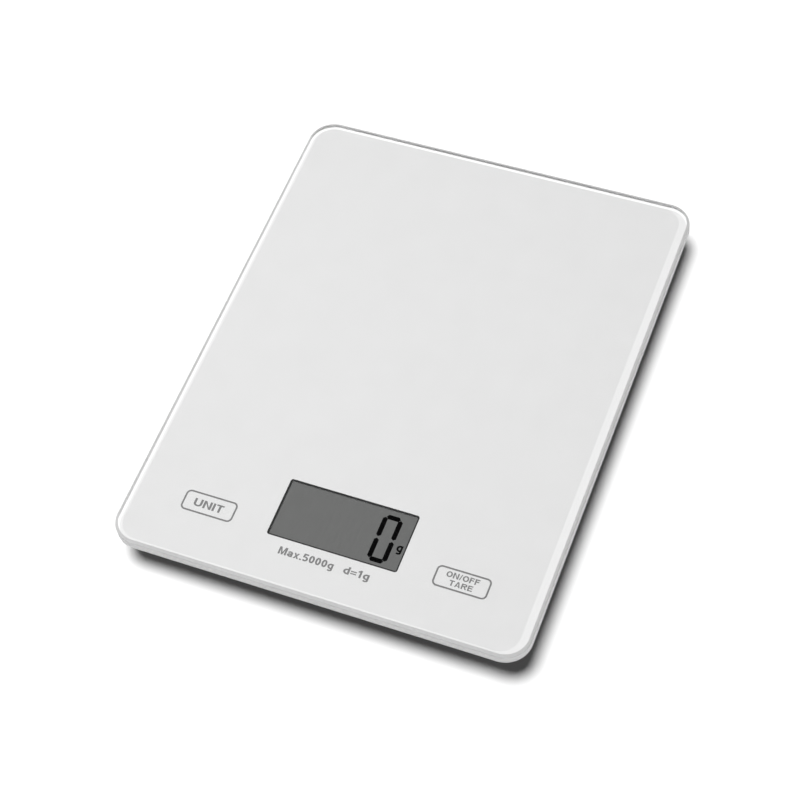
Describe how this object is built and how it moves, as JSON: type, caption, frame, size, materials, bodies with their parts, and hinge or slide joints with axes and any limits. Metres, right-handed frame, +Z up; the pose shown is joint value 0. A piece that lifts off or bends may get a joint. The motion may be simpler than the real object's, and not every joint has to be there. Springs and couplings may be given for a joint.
{
  "type": "kitchen scale",
  "caption": "Slim flat kitchen scale: a rounded glass platform over a set-back white base, with a display window and touch keys at one end, a load cell and a coin cell inside.",
  "frame": {"origin": "on the table, under the middle of the glass platform", "axes": "+X across the platform, to the right as the display is read; +Y from the display end to the far end; +Z up"},
  "size_m": [0.145, 0.185, 0.016],
  "materials": {
    "glass": "polished, clear",
    "print": "off-white printed film with grey lettering",
    "adhesive": "double-sided adhesive sheet",
    "white_plastic": "fine moulded texture",
    "display_glass": "clear over a grey-green cell",
    "polariser": "grey film",
    "silicone": "silicone with conductive layers",
    "board": "green solder mask over fibreglass",
    "chip": "black resin",
    "capacitor": "fired ceramic with tinned ends",
    "nickel": "nickel plated",
    "screw_steel": "zinc plated",
    "spacer_steel": "rolled and deburred",
    "load_cell_aluminium": "milled and lightly anodised",
    "gauge_film": "amber film with a foil grid",
    "foot_rubber": "soft, matt",
    "cell_seal": "moulded sealing ring",
    "black_insulation": "wire insulation",
    "red_insulation": "wire insulation",
    "grey_insulation": "four wires laid together"
  },
  "bodies": {
    "base": {"load_cell": "load_cell_aluminium", "load_cell_spacer_base": "spacer_steel", "strain_gauge_upper_front": "gauge_film", "strain_gauge_upper_rear": "gauge_film", "strain_gauge_lower_front": "gauge_film", "strain_gauge_lower_rear": "gauge_film", "terminal_board": "board", "gauge_cable": "grey_insulation", "base_screw_front": "screw_steel", "base_screw_rear": "screw_steel", "base_shell": "white_plastic", "rubber_foot_front_left": "foot_rubber", "rubber_foot_front_right": "foot_rubber", "rubber_foot_rear_left": "foot_rubber", "rubber_foot_rear_right": "foot_rubber", "coin_cell_can": "nickel", "coin_cell_seal": "cell_seal", "coin_cell_cap": "nickel", "battery_contact_negative": "nickel", "battery_contact_positive": "nickel", "battery_wire_negative": "black_insulation", "battery_wire_positive": "red_insulation"},
    "platform": {"glass_platform": "glass", "printed_film": "print", "adhesive_sheet": "adhesive", "platform_tray": "white_plastic", "display_panel": "display_glass", "display_polariser": "polariser", "display_reflector": "polariser", "display_frame": "white_plastic", "display_connector": "silicone", "circuit_board": "board", "controller_chip": "chip", "amplifier_chip": "chip", "touch_chip": "chip", "clock_crystal": "nickel", "filter_capacitor": "capacitor", "supply_capacitor": "capacitor", "board_screw_rear_left": "screw_steel", "board_screw_rear_right": "screw_steel", "board_screw_front_left": "screw_steel", "board_screw_front_right": "screw_steel", "touch_spring_unit": "nickel", "touch_spring_tare": "nickel", "load_cell_spacer_platform": "spacer_steel", "platform_screw_front": "screw_steel", "platform_screw_rear": "screw_steel"},
    "battery_door": {"battery_door": "white_plastic"}
  },
  "joints": [
    {"name": "platform_press", "type": "slide", "parent": "base", "child": "platform", "axis": [0, 0, -1], "range_m": [0, 0.0004], "stiffness_N_per_m": 150000, "deforming": ["load_cell", "gauge_cable", "battery_wire_negative", "battery_wire_positive"]},
    {"name": "battery_door_hinge", "type": "hinge", "parent": "base", "child": "battery_door", "pos_m": [0, 0.0425, 0.0016], "axis": [-1, 0, 0], "range_deg": [0, 70]}
  ]
}
